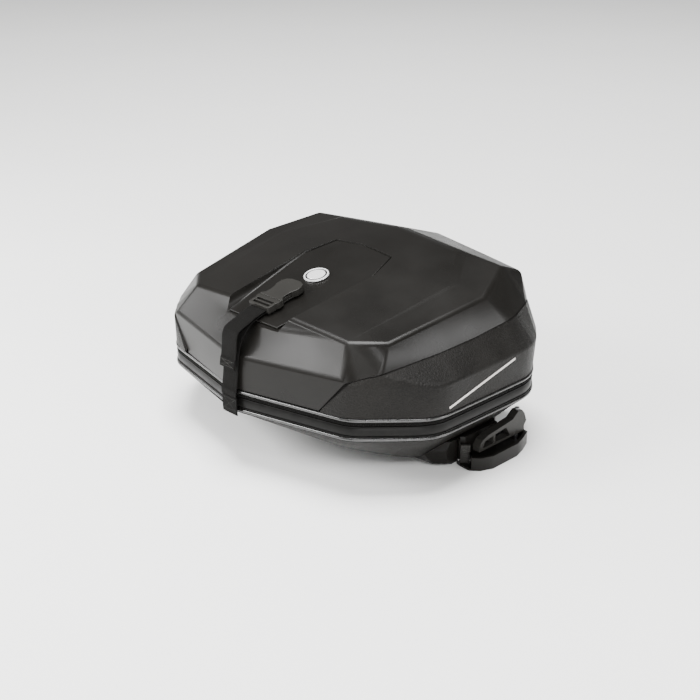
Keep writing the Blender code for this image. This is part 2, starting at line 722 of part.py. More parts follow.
CAM_HUB = 5.5
CAM_NOSE = [(-4.0, -4.4), (-3.0, -8.0), (1.0, -9.0), (3.6, -7.0), (4.0, -4.4)]
CAM_POCKET = 9.6


def make_housing(label, side, mats):
    """Open cup under the shell, with a bore for the pin and a pocket for the cam in its underside."""
    px, py = side * LATCH_PIVOT[0], LATCH_PIVOT[1]
    housing = prism(f"latch_housing_{label}", sided([
        (181.8, 178), (188, 175.5), (203, 174.5), (213, 183), (219, 198), (219, 241), (214, 258),
        (207, 274.5), (192, 277.5), (186.4, 270), (181.8, 242),
    ], side), GROUND, -57.5, mats["smooth"])
    cut(housing, prism(f"cut_cup_top_{label}", sided([
        (186.4, 170), (225, 170), (225, 285), (170, 285), (170, 243), (186.4, 243)], side), -74, -40, None))
    cut(housing, prism(f"cut_cup_inside_{label}", sided([
        (186.4, 194), (203, 180), (210.5, 186), (215.3, 199), (215.3, 240), (210.5, 256), (204, 270),
        (193, 272), (188, 264),
    ], side), -81, -70, None))
    cut(housing, prism(f"cut_pivot_{label}", circle(px, py, 3.3), GROUND - 2, -70, None))
    cut(housing, prism(f"cut_cam_pocket_{label}", circle(px, py, CAM_POCKET, 20), GROUND - 2, -85.5, None))
    return housing


def make_lever(label, side, mats):
    """Long turning lever over the cup, with two finger windows through it."""
    px, py = side * LATCH_PIVOT[0], LATCH_PIVOT[1]
    inner, outer = sorted((side * 193.5, side * 203.5))
    lever = prism(f"latch_lever_{label}", [
        (191.5, -73.2), (191, -66), (196.5, -59.5), (206, -56.5), (250, -51.5), (260, -44), (267, -45),
        (272, -51), (276, -61), (272, -66), (272, -73.2),
    ], inner, outer, mats["nylon"], side="x")
    for window, shape in (("front", [(197, -70), (215.5, -70), (215.5, -60.5), (201, -62.3)]),
                          ("rear", [(219, -70), (246, -70), (238, -57.8), (219, -60)])):
        cut(lever, prism(f"cut_lever_{window}_{label}", shape, inner - 3.5, outer + 3.5, None, side="x"))
    cut(lever, prism(f"cut_lever_bore_{label}", circle(px, py, 3.3), -80, -35, None))
    set_origin(lever, (px, py, -60))


def make_cam(label, side, mats):
    """Locking cam on the lower end of the pin, with one nose that turns out of the way."""
    px, py = side * LATCH_PIVOT[0], LATCH_PIVOT[1]
    hub = [(x, y) for x, y in circle(0, 0, CAM_HUB, 16) if y > -3.5]
    outline = sorted(hub + CAM_NOSE, key=lambda p: math.atan2(p[1] + 2, p[0]))
    cam = prism(f"latch_cam_{label}", [(px + x, py + y) for x, y in sided(outline, side)],
                GROUND + 0.5, -86, mats["steel"])
    cut(cam, prism(f"cut_cam_bore_{label}", circle(px, py, 3.3), GROUND - 2, -80, None))
    set_origin(cam, (px, py, -88))


def make_latch(label, side, mats):
    px, py = side * LATCH_PIVOT[0], LATCH_PIVOT[1]
    housing = make_housing(label, side, mats)
    make_lever(label, side, mats)
    pin = rod(f"latch_pin_{label}", (px, py, GROUND + 0.6), (px, py, -42.5), 3.0, mats["steel"], 12)
    set_origin(pin, (px, py, -60))
    make_cam(label, side, mats)
    make_lock_tab(label, side, housing, mats)


def make_lock_tab(label, side, housing, mats):
    """Ribbed release tab across the latch's front corner, hinged at its foot."""
    tx, ty, tz = TAB_PIVOT
    along = Vector((side, 1, 0)).normalized()
    outward = Vector((side, -1, 0)).normalized()
    centre = Vector((side * tx, ty, 0))

    def block(name, half_width, near, far, low, high, mat):
        corners = []
        for a, o in ((-half_width, near), (half_width, near), (half_width, far), (-half_width, far)):
            p = centre + along * a + outward * o
            corners.append((p.x, p.y))
        return prism(name, corners, low, high, mat)

    cut(housing, block(f"cut_tab_notch_{label}", 5.9, -5.2, 30, -87.6, -50, None))
    bore_start = centre + along * 12 + Vector((0, 0, tz))
    bore_end = centre - along * 12 + Vector((0, 0, tz))
    bore = rod(f"cut_tab_bore_{label}", bore_start, bore_end, 1.6, None)
    cut(housing, bore)
    tab = block(f"lock_tab_{label}", 5.5, -2.2, 1.6, -87.2, -65, mats["nylon"])
    cut(tab, bore)
    set_origin(tab, (side * tx, ty, tz))
    pin_start = centre + along * 7.6 + Vector((0, 0, tz))
    pin_end = centre - along * 7.6 + Vector((0, 0, tz))
    rod(f"tab_pin_{label}", pin_start, pin_end, 1.25, mats["steel"], 8)
    block(f"tab_spring_{label}", 3.0, -4.9, -4.3, -87.3, -70, mats["steel"])


# ---------------------------------------------------------------- assembly

def main():
    for obj in list(bpy.data.objects):
        bpy.data.objects.remove(obj)
    mats = make_materials()
    shell = make_lower_shell(mats)
    make_rim(mats)
    make_hinge_strip(mats)
    make_lid_cover(mats)
    make_panels(mats)
    make_centre_insert(mats)
    make_badge(mats)
    make_buckle(mats)
    make_strap(mats)
    make_sliders(mats)
    make_bracket(mats)
    make_stiffener(shell, mats)
    for label, side in (("right", 1), ("left", -1)):
        make_latch(label, side, mats)


main()
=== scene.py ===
"""Looks of the semi-rigid saddlebag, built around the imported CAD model.

The moulded lid is made from the CAD solids' own outer skins, with its ridges rounded. Everything else is a
CAD node with a finer edge and material, or a piece laid out from the boxes and outlines of those nodes.
All lengths are in metres, in the frame of the CAD model.
"""

import json
import math

import bmesh
import bpy
from mathutils import Matrix, Vector
from mathutils.bvhtree import BVHTree
from mathutils.geometry import convex_hull_2d

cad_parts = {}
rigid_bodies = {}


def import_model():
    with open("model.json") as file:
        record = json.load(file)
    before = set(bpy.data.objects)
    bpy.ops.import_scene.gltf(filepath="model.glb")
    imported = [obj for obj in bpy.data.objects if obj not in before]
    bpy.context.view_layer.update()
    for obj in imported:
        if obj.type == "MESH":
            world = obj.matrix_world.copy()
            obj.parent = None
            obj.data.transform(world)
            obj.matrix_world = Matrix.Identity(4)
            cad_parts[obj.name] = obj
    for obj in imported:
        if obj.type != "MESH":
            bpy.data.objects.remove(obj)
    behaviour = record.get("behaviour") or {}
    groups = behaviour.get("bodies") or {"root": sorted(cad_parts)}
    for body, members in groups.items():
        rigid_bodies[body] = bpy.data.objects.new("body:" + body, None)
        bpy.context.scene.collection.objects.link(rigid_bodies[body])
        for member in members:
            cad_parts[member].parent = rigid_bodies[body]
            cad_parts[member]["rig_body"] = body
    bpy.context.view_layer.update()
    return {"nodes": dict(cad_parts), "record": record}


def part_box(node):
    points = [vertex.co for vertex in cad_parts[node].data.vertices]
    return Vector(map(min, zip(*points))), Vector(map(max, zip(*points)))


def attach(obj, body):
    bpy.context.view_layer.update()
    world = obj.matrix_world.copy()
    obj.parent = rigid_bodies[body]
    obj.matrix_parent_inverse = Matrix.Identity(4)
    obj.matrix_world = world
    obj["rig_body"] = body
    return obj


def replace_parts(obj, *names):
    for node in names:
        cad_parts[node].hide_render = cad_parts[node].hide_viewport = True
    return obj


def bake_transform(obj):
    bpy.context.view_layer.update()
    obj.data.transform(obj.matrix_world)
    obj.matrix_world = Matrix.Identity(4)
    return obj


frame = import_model()
NODES = frame["nodes"]

UP = Vector((0, 0, 1))

# Moulded shell. An edge is rounded if it bends by more than a number of degrees and there is room beside it.
COVER_WALL = 0.0022
EDGE_ROUND = 0.0075        # rounding of the lid's main ridges
RIDGE_BEND = 12.0
RIDGE_ROOM = 0.012
RIDGE_LENGTH = 0.022
FINE_ROUND = 0.0011        # rounding of the recess and step edges
STEP_BEND = 55.0
CREASE_ROUND = 0.0035      # rounding of the grained panels' creases
CREASE_BEND = 16.0
CREASE_ROOM = 0.006
ANY_ROOM = 9.0             # wider than any face

# Rim and zip.
RIM_COUNT = 360            # steps round the rim
RIM_BACK = -0.0031         # inner side of the band and tapes, from the rim's outer edge
TOOTH_PITCH = 0.0026
TOOTH_SIZE = (0.0011, 0.0009, 0.0013)   # along the rim, outward, upward
TOOTH_LIFT = 0.0004
TOOTH_INSET = 0.0003

# Fabric hinge.
CLOTH_THICK = 0.0007
REAR_START = 0.1

# Seam between the cover and the grained panels.
SEAM_REACH = 0.009
PANEL_FOOT = 0.004         # edges lower than this above a panel's foot are left alone
TUCK_LENGTH = 0.004
TUCK_DEPTH = 0.0027
TUCK_START = 0.6           # share of the depth already reached at the cover's edge

# Plain bar on each side panel, with its ends as (y, z).
BAR_START = Vector((-0.050, 0.098))
BAR_END = Vector((0.058, 0.1235))
BAR_HALF = 0.0015
BAR_LIFT = 0.00025
BAR_FILM = 0.0002
BAR_COLUMNS = 40

# Badge.
BADGE_RIM = 0.0022
BADGE_MIDDLE = 0.72        # radius of the silver disc, as a share of the badge's

# Webbing.
WEB_THICK = 0.0015
RIB_PITCH = 0.0017
ROUTE_STEP = 0.0015
HEM_SWELL = 0.7
STITCH_SIZE = (0.0011, 0.00028, 0.00022, 1.0)
STITCH_LIFT = 0.52         # height above the strap's middle line, as a share of its thickness
STITCH_MARGIN = 0.0022

# Lock tab.
TAB_RIBS = 7
RIB_SIZE = 0.0012

# Camera.
CAMERA_PLACE = (0.9826, -0.9599, 0.6642)
CAMERA_TARGET = (0, 0.0118, 0.083)
CAMERA_LENS = 63.53
CAMERA_SENSOR = 36.0


# ---------------------------------------------------------------- materials

class Nodes:
    """A material's node tree, with short calls for the few node types used here."""

    def __init__(self, name, colour, roughness, metallic=0.0, gloss=0.3):
        self.mat = bpy.data.materials.new(name)
        self.mat.use_nodes = True
        self.tree = self.mat.node_tree
        self.shader = self.tree.nodes["Principled BSDF"]
        self.shader.inputs["Base Color"].default_value = (*colour, 1.0)
        self.shader.inputs["Roughness"].default_value = roughness
        self.shader.inputs["Metallic"].default_value = metallic
        if not metallic:
            self.shader.inputs["Specular IOR Level"].default_value = gloss
        self.coords = self.add("ShaderNodeTexCoord").outputs["Object"]

    def add(self, kind, **values):
        node = self.tree.nodes.new(kind)
        for key, value in values.items():
            setattr(node, key, value)
        return node

    def put(self, value, socket):
        if isinstance(value, bpy.types.NodeSocket):
            self.tree.links.new(value, socket)
        else:
            socket.default_value = value

    def math(self, operation, a, b=0.0):
        node = self.add("ShaderNodeMath", operation=operation)
        self.put(a, node.inputs[0])
        self.put(b, node.inputs[1])
        return node.outputs[0]

    def axis(self, letter):
        node = self.add("ShaderNodeSeparateXYZ")
        self.put(self.coords, node.inputs[0])
        return node.outputs[letter]

    def noise(self, scale, detail=2.0, rough=0.5):
        node = self.add("ShaderNodeTexNoise")
        self.put(self.coords, node.inputs["Vector"])
        node.inputs["Scale"].default_value = scale
        node.inputs["Detail"].default_value = detail
        node.inputs["Roughness"].default_value = rough
        return node.outputs["Fac"]

    def cells(self, scale, feature="F1"):
        node = self.add("ShaderNodeTexVoronoi", feature=feature)
        self.put(self.coords, node.inputs["Vector"])
        node.inputs["Scale"].default_value = scale
        return node.outputs["Distance"]

    def span(self, value, low, high, out_low, out_high):
        node = self.add("ShaderNodeMapRange")
        self.put(value, node.inputs["Value"])
        limits = {"From Min": low, "From Max": high, "To Min": out_low, "To Max": out_high}
        for name, number in limits.items():
            node.inputs[name].default_value = number
        return node.outputs["Result"]

    def tint(self, fac, dark, light):
        node = self.add("ShaderNodeMix", data_type="RGBA")
        self.put(fac, node.inputs["Factor"])
        node.inputs[6].default_value = (*dark, 1.0)
        node.inputs[7].default_value = (*light, 1.0)
        self.put(node.outputs[2], self.shader.inputs["Base Color"])

    def rough(self, value):
        self.put(value, self.shader.inputs["Roughness"])

    def bump(self, height, distance, strength=1.0):
        node = self.add("ShaderNodeBump")
        node.inputs["Strength"].default_value = strength
        node.inputs["Distance"].default_value = distance
        self.put(height, node.inputs["Height"])
        self.put(node.outputs["Normal"], self.shader.inputs["Normal"])


def scaled(colour, factor):
    """A colour made darker or lighter."""
    return tuple(c * factor for c in colour)


def satin_plastic(name, colour, roughness, bump=0.00002, gloss=0.15):
    """Smooth moulding: a faint texture of the tool, and slightly uneven gloss from handling."""
    look = Nodes(name, colour, roughness, gloss=gloss)
    smudge = look.noise(14.0, 3.0)
    fine = look.noise(2600.0, 2.0, 0.6)
    mottle = look.span(smudge, 0.3, 0.7, 0.0, 1.0)
    look.tint(mottle, scaled(colour, 0.86), scaled(colour, 1.16))
    look.rough(look.span(smudge, 0.25, 0.75, roughness - 0.04, roughness + 0.06))
    look.bump(fine, bump)
    return look.mat


def grained_plastic(name, colour, roughness):
    """Moulded grain: small pebbles of uneven size, lighter where they catch wear."""
    look = Nodes(name, colour, roughness, gloss=0.1)
    pebbles = look.cells(620.0, "SMOOTH_F1")
    speckle = look.noise(520.0, 4.0, 0.75)
    patch = look.noise(22.0, 3.0)
    height = look.math("SUBTRACT", speckle, look.math("MULTIPLY", pebbles, 0.9))
    wear = look.span(speckle, 0.35, 0.7, 0.0, 0.7)
    fac = look.math("ADD", wear, look.span(patch, 0.3, 0.7, -0.1, 0.3))
    look.tint(fac, scaled(colour, 0.55), scaled(colour, 1.75))
    look.rough(look.span(patch, 0.2, 0.8, roughness - 0.06, roughness + 0.08))
    look.bump(height, 0.0006, 1.0)
    return look.mat


def soft_trim(name, colour, roughness, gloss=0.1):
    """Rubber-like trim with a faint texture and a little dust."""
    look = Nodes(name, colour, roughness, gloss=gloss)
    dust = look.noise(60.0, 4.0, 0.6)
    look.tint(look.span(dust, 0.4, 0.75, 0.0, 1.0), colour, scaled(colour, 1.9))
    look.rough(look.span(dust, 0.3, 0.7, roughness - 0.05, roughness + 0.1))
    look.bump(look.noise(1500.0, 2.0), 0.00003)
    return look.mat


def woven(name, colour, roughness, pitch):
    """Woven webbing: ribs along it, crossed by the weft.

    Along the strap is y + z, which never turns back on this strap.
    """
    look = Nodes(name, colour, roughness, gloss=0.08)
    turn = 2 * math.pi
    along = look.math("ADD", look.axis("Y"), look.axis("Z"))
    weft = look.math("SINE", look.math("MULTIPLY", along, turn / (pitch * 0.8)))
    across = look.math("MULTIPLY", look.axis("X"), turn / pitch)
    ribs = look.math("SINE", look.math("ADD", across, look.math("MULTIPLY", weft, 1.1)))
    fuzz = look.noise(3200.0, 2.0, 0.7)
    swell = look.math("ADD", look.math("MULTIPLY", weft, 0.35), 0.75)
    height = look.math("ADD", look.math("MULTIPLY", ribs, swell), fuzz)
    look.tint(look.span(height, -0.6, 1.7, 0.0, 1.0), scaled(colour, 0.4), scaled(colour, 2.2))
    look.rough(look.span(fuzz, 0.3, 0.7, roughness - 0.08, roughness + 0.08))
    look.bump(height, 0.0003, 1.0)
    return look.mat


def brushed_metal(name, colour, roughness, metallic=1.0):
    """Metal with fine uneven streaks."""
    look = Nodes(name, colour, roughness, metallic)
    streak = look.noise(900.0, 3.0, 0.7)
    look.tint(streak, scaled(colour, 0.75), scaled(colour, 1.1))
    look.rough(look.span(streak, 0.3, 0.7, roughness - 0.07, roughness + 0.12))
    look.bump(streak, 0.00004)
    return look.mat


def reflective_film(name, colour):
    """Retroreflective print: a fine cell pattern under a satin face."""
    look = Nodes(name, colour, 0.38, 0.35)
    cell = look.cells(1700.0)
    look.tint(look.span(cell, 0.1, 0.6, 0.0, 1.0), scaled(colour, 1.08), scaled(colour, 0.8))
    look.bump(cell, 0.00005)
    return look.mat


def floor_material():
    """Pale matt paint, very slightly uneven."""
    look = Nodes("floor_paint", (0.9, 0.9, 0.89), 0.75)
    look.tint(look.noise(3.0, 2.0), (0.88, 0.88, 0.87), (0.92, 0.92, 0.91))
    return look.mat


MATS = {
    "smooth_shell": satin_plastic("satin_shell", (0.0066, 0.0061, 0.0054), 0.29),
    "grained_shell": grained_plastic("grained_shell", (0.0072, 0.0067, 0.006), 0.42),
    "soft_trim": soft_trim("trim", (0.0036, 0.0035, 0.0032), 0.34),
    "webbing": woven("webbing", (0.0036, 0.0034, 0.0031), 0.78, RIB_PITCH),
    "nylon": satin_plastic("nylon", (0.019, 0.0182, 0.0166), 0.34, 0.00004, 0.16),
    "steel": brushed_metal("steel", (0.42, 0.42, 0.43), 0.34),
    "board": grained_plastic("board", (0.05, 0.05, 0.05), 0.75),
    "silver_trim": brushed_metal("badge_silver", (0.80, 0.80, 0.80), 0.3, 0.3),
    "badge_enamel": satin_plastic("badge_enamel", (0.008, 0.008, 0.008), 0.16, 0.00001),
    "bead": soft_trim("piping_bead", (0.0045, 0.0043, 0.004), 0.24, 0.75),
    "thread": soft_trim("thread", (0.03, 0.03, 0.028), 0.7),
    "reflective": reflective_film("reflective_print", (0.62, 0.585, 0.56)),
}


# ---------------------------------------------------------------- meshes

def add_object(name, bm, mat, body, smooth_angle=35.0):
    """Makes a piece of a bmesh, gives it a material and lets it ride on a body."""
    bmesh.ops.recalc_face_normals(bm, faces=bm.faces)
    mesh = bpy.data.meshes.new(name)
    bm.to_mesh(mesh)
    bm.free()
    mesh.shade_smooth()
    mesh.set_sharp_from_angle(angle=math.radians(smooth_angle))
    mesh.materials.append(MATS[mat])
    obj = bpy.data.objects.new(name, mesh)
    bpy.context.scene.collection.objects.link(obj)
    if body:
        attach(obj, body)
    return obj


def node_bmesh(name):
    """A CAD node's mesh as a welded bmesh of its own."""
    bm = bmesh.new()
    bm.from_mesh(NODES[name].data)
    bmesh.ops.remove_doubles(bm, verts=bm.verts, dist=0.00001)
    bm.normal_update()
    return bm


def shell_tree():
    """All the moulded walls together, for telling a wall's outside from its inside."""
    bm = bmesh.new()
    walls = ("lid_cover", "side_panel_right", "side_panel_left", "rear_panel", "lower_shell", "rim_band")
    for name in walls:
        bm.from_mesh(NODES[name].data)
    tree = BVHTree.FromBMesh(bm)
    bm.free()
    return tree


SHELL = shell_tree()


def outer_skin(name, upward):
    """The faces of a CAD wall that nothing covers, looking straight up or along their own direction."""
    bm = node_bmesh(name)
    hidden = []
    for face in bm.faces:
        start = face.calc_center_median() + face.normal * 0.0001
        direction = UP if upward else face.normal
        if SHELL.ray_cast(start, direction)[0] is not None:
            hidden.append(face)
    bmesh.ops.delete(bm, geom=hidden, context="FACES")
    bmesh.ops.dissolve_limit(bm, angle_limit=math.radians(1.2), verts=bm.verts, edges=bm.edges)
    return bm


def edge_room(edge):
    """How far the faces beside an edge reach from it: the room there is for rounding it."""
    a, b = edge.verts
    along = (b.co - a.co).normalized()
    room = []
    for face in edge.link_faces:
        away = [(v.co - a.co) - along * (v.co - a.co).dot(along) for v in face.verts]
        room.append(max(v.length for v in away))
    return min(room)


def round_edges(bm, min_angle, radius, room_low, room_high, segments, shortest=0.0):
    """Rounds the edges that bend by more than an angle, are long enough and have room beside them."""
    picked = []
    for edge in bm.edges:
        if len(edge.link_faces) != 2 or edge.calc_face_angle(0.0) < math.radians(min_angle):
            continue
        if edge.calc_length() >= shortest and room_low <= edge_room(edge) < room_high:
            picked.append(edge)
    if picked:
        bmesh.ops.bevel(bm, geom=picked, offset=radius, offset_type="WIDTH", segments=segments, profile=0.5,
                        affect="EDGES", clamp_overlap=True)


def thickness(obj, depth):
    """Gives a skin its wall, inward."""
    mod = obj.modifiers.new("wall", "SOLIDIFY")
    mod.thickness = depth
    mod.offset = -1.0
    mod.use_even_offset = False


def even_shading(obj):
    """Keeps large faces flat, so that only their rounded edges bend the light."""
    mod = obj.modifiers.new("shading", "WEIGHTED_NORMAL")
    mod.keep_sharp = True
    mod.weight = 80


def refine(node, width, angle=30.0, segments=2):
    """A CAD node's own shape with its edges rounded and its curved faces shaded smooth."""
    bm = node_bmesh(node)
    bmesh.ops.dissolve_limit(bm, angle_limit=math.radians(1.0), verts=bm.verts, edges=bm.edges)
    bend = math.radians(angle)
    sharp = [e for e in bm.edges if len(e.link_faces) == 2 and e.calc_face_angle(0.0) > bend]
    bmesh.ops.bevel(bm, geom=sharp, offset=width, offset_type="OFFSET", segments=segments, profile=0.5,
                    affect="EDGES", clamp_overlap=True)
    piece = add_object(f"{node}_moulding", bm, SLOTS[node], NODES[node]["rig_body"], 40.0)
    even_shading(piece)
    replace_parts(piece, node)


def lathe(name, profile, centre, normal, mat, body, count=64):
    """Turns a closed (radius, height) profile about an axis."""
    turn = normal.to_track_quat("Z", "Y")
    bm = bmesh.new()
    rows = []
    for i in range(count):
        angle = 2 * math.pi * i / count
        ray = Vector((math.cos(angle), math.sin(angle), 0))
        rows.append([bm.verts.new(centre + turn @ (ray * r + UP * h)) for r, h in profile])
    for i, row in enumerate(rows):
        after = rows[(i + 1) % count]
        for j in range(len(profile)):
            k = (j + 1) % len(profile)
            bm.faces.new((row[j], row[k], after[k], after[j]))
    bmesh.ops.remove_doubles(bm, verts=bm.verts, dist=0.000001)
    return add_object(name, bm, mat, body, 40.0)


# ---------------------------------------------------------------- rim

def chaikin(points):
    """Cuts each corner of a closed outline once."""
    out = []
    for a, b in zip(points, points[1:] + points[:1]):
        out += [a * 0.75 + b * 0.25, a * 0.25 + b * 0.75]
    return out


def resample(points, count):
    """Evenly spaced points on a closed outline, with the outward direction at each."""
    closed = points + points[:1]
    lengths = [0.0]
    for a, b in zip(closed, closed[1:]):
        lengths.append(lengths[-1] + (b - a).length)
    out = []
    j = 0
    for i in range(count):
        want = lengths[-1] * i / count
        while lengths[j + 1] < want:
            j += 1
        a, b = closed[j], closed[j + 1]
        along = (b - a).normalized()
        out.append((a + along * (want - lengths[j]), Vector((along.y, -along.x))))
    return out, lengths[-1]


def rim_outline(count=None):
    """The rim's outer edge in plan, from the band's own outline, with its corners rounded further."""
    flat = [v.co.to_2d() for v in NODES["rim_band"].data.vertices]
    hull = [flat[i] for i in convex_hull_2d(flat)]
    area = sum(a.x * b.y - b.x * a.y for a, b in zip(hull, hull[1:] + hull[:1]))
    if area < 0:
        hull.reverse()
    smooth = chaikin(chaikin(hull))
    if count is None:
        count = round(resample(smooth, 4)[1] / TOOTH_PITCH)
    return resample(smooth, count)[0]


def sweep(name, profile, mat, body, node):
    """Carries a closed (outward, height) profile round the rim."""
    bm = bmesh.new()
    rows = []
    for point, out in rim_outline(RIM_COUNT):
        rows.append([bm.verts.new((*(point + out * o), z)) for o, z in profile])
    for i, row in enumerate(rows):
        after = rows[(i + 1) % len(rows)]
        for j in range(len(profile)):
            k = (j + 1) % len(profile)
            bm.faces.new((row[j], row[k], after[k], after[j]))
    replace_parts(add_object(name, bm, mat, body, 50.0), node)


def round_profile(out, z, radius, count=12):
    """A circle as (outward, height) pairs."""
    turns = [2 * math.pi * i / count for i in range(count)]
    return [(out + radius * math.cos(a), z + radius * math.sin(a)) for a in turns]


def make_pipings():
    """Each piping is a plain round cord along the rim."""
    for label, body in (("upper", "lid"), ("lower", "base")):
        low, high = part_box(f"{label}_piping")
        middle, radius = (low.z + high.z) / 2, (high.z - low.z) / 2
        bead = round_profile(-0.0008, middle, radius)
        sweep(f"{label}_piping_cord", bead, "bead", body, f"{label}_piping")


def make_band():
    """The band between the pipings, with a lip along each edge and a groove beside it."""
    low, high = (corner.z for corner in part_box("rim_band"))
    lip = 0.0011
    profile = [
        (RIM_BACK, high), (-0.0004, high), (0.0004, high - 0.0004), (0.0004, high - lip),
        (-0.0006, high - lip - 0.0004), (-0.0002, high - lip - 0.0012), (0.0003, (high + low) / 2),
        (-0.0002, low + lip + 0.0012), (-0.0006, low + lip + 0.0004), (0.0004, low + lip),
        (0.0004, low + 0.0004), (-0.0004, low), (RIM_BACK, low),
    ]
    sweep("rim_band_moulding", profile, "soft_trim", "base", "rim_band")


def make_tapes():
    """The zip's two tapes, slightly bulged outward."""
    for label, body in (("upper", "lid"), ("lower", "base")):
        low, high = (corner.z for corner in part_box(f"zip_tape_{label}"))
        middle = (low + high) / 2
        profile = [(RIM_BACK, low), (-0.0006, low), (-0.0004, middle), (-0.0006, high), (RIM_BACK, high)]
        sweep(f"zip_tape_{label}_cloth", profile, "webbing", body, f"zip_tape_{label}")


def make_teeth():
    """Two rows of zip teeth that interleave at the parting line."""
    parting = (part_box("zip_tape_upper")[0].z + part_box("zip_tape_lower")[1].z) / 2
    places = rim_outline()
    length, depth, height = TOOTH_SIZE
    for row, (label, body) in enumerate((("upper", "lid"), ("lower", "base"))):
        bm = bmesh.new()
        for i in range(row, len(places), 2):
            point, out = places[i]
            along = Vector((-out.y, out.x))
            lift = TOOTH_LIFT if row == 0 else -TOOTH_LIFT
            corners = []
            for a, o in ((-1, -1), (1, -1), (0.6, 1), (-0.6, 1)):
                flat = point + along * (a * length / 2) + out * (o * depth / 2 - TOOTH_INSET)
                corners.append(flat)
            rings = []
            for z in (-height / 2, height / 2):
                rings.append([bm.verts.new((*c, parting + lift + z)) for c in corners])
            for j in range(4):
                k = (j + 1) % 4
                bm.faces.new((rings[0][j], rings[0][k], rings[1][k], rings[1][j]))
            bm.faces.new(rings[0])
            bm.faces.new(rings[1])
        add_object(f"zip_teeth_{label}", bm, "soft_trim", body)


def make_hinge_cloth():
    """Fabric hinge sewn to both halves along the rear edge, outside the piping."""
    low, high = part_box("hinge_strip")
    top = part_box("upper_piping")[1].z
    half = high.x - 0.012
    rows = [(0.0007, low.z), (0.0011, low.z + 0.004), (0.0013, high.z - 0.004), (0.0020, high.z),
            (0.0028, top - 0.0021), (0.0026, top + 0.0005), (0.0012, top + 0.004), (0.0008, top + 0.009)]
    rear = [(p, o) for p, o in rim_outline(RIM_COUNT) if p.y > REAR_START and abs(p.x) < half]
    rear.sort(key=lambda pair: pair[0].x)
    bm = bmesh.new()
    columns = [[bm.verts.new((*(p + o * out), z)) for out, z in rows] for p, o in rear]
    for a, b in zip(columns, columns[1:]):
        for j in range(len(rows) - 1):
            bm.faces.new((a[j], a[j + 1], b[j + 1], b[j]))
    bmesh.ops.recalc_face_normals(bm, faces=bm.faces)
    bmesh.ops.solidify(bm, geom=bm.faces[:], thickness=CLOTH_THICK)
    cloth = add_object("hinge_cloth", bm, "webbing", None, 60.0)
    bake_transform(cloth)
    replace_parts(cloth, "hinge_strip")


# ---------------------------------------------------------------- lid

def make_cover():
    """The smooth moulding, and the outline of its lower edge with the surface's direction there."""
    bm = outer_skin("lid_cover", upward=True)
    round_edges(bm, RIDGE_BEND, EDGE_ROUND, RIDGE_ROOM, ANY_ROOM, 5, RIDGE_LENGTH)
    round_edges(bm, STEP_BEND, FINE_ROUND, 0.0, RIDGE_ROOM, 3)
    rim = []
    for edge in bm.edges:
        if edge.is_boundary:
            a, b = edge.verts
            rim.append((a.co.copy(), b.co.copy(), edge.link_faces[0].normal.copy()))
    cover = add_object("lid_cover_moulding", bm, "smooth_shell", "lid", 30.0)
    thickness(cover, COVER_WALL)
    even_shading(cover)
    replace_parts(cover, "lid_cover")
    return rim


def nearest_on(rim, point):
    """The point of an outline nearest to a point, and the surface's direction there."""
    best = None
    for a, b, normal in rim:
        span = b - a
        t = max(0.0, min(1.0, (point - a).dot(span) / max(span.length_squared, 1e-12)))
        place = a + span * t
        gap = (place - point).length
        if best is None or gap < best[0]:
            best = (gap, place, normal)
    return best


def tuck_under(bm, rim, foot):
    """Carries a panel's edge on beneath the cover, so that the seam between them is closed."""
    tucked = {}
    edges = []
    for edge in bm.edges:
        if not edge.is_boundary:
            continue
        near = [nearest_on(rim, v.co) for v in edge.verts]
        if all(n[0] < SEAM_REACH for n in near) and any(v.co.z > foot for v in edge.verts):
            edges.append(edge)
            tucked.update(zip(edge.verts, near))
    made = {}
    for v, (_, place, normal) in tucked.items():
        into = place - v.co
        into -= normal * into.dot(normal)
        step = into.normalized() * TUCK_LENGTH if into.length > 0.0002 else Vector()
        made[v] = (bm.verts.new(place - normal * TUCK_DEPTH * TUCK_START),
                   bm.verts.new(place + step - normal * TUCK_DEPTH))
    for edge in edges:
        a, b = edge.verts
        bm.faces.new((a, b, made[b][0], made[a][0]))
        bm.faces.new((made[a][0], made[b][0], made[b][1], made[a][1]))


def make_panel(node, name, rim):
    """A grained panel tucked under the cover. Returns its outer surface."""
    bm = outer_skin(node, upward=False)
    round_edges(bm, CREASE_BEND, CREASE_ROUND, CREASE_ROOM, ANY_ROOM, 3)
    surface = BVHTree.FromBMesh(bm)
    tuck_under(bm, rim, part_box(node)[0].z + PANEL_FOOT)
    panel = add_object(name, bm, "grained_shell", "lid", 60.0)
    thickness(panel, COVER_WALL)
    even_shading(panel)
    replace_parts(panel, node)
    return surface


def make_stripe(label, side, surface):
    """Plain straight bar of reflective print, of even width, laid on the grained panel."""
    run = BAR_END - BAR_START
    across = Vector((-run.y, run.x)).normalized()
    bm = bmesh.new()
    rows = []
    for i in range(BAR_COLUMNS + 1):
        t = i / BAR_COLUMNS
        row = []
        for a in (-1, -0.33, 0.33, 1):
            y, z = BAR_START.lerp(BAR_END, t) + across * BAR_HALF * a
            hit = surface.ray_cast(Vector((side * 0.3, y, z)), Vector((-side, 0, 0)))[0]
            row.append(bm.verts.new(hit + Vector((side * BAR_LIFT, 0, 0))))
        rows.append(row)
    for a, b in zip(rows, rows[1:]):
        for j in range(3):
            bm.faces.new((a[j], a[j + 1], b[j + 1], b[j]))
    stripe = add_object(f"side_stripe_{label}", bm, "reflective", "lid", 60.0)
    stripe.modifiers.new("film", "SOLIDIFY").thickness = BAR_FILM


# ---------------------------------------------------------------- badge

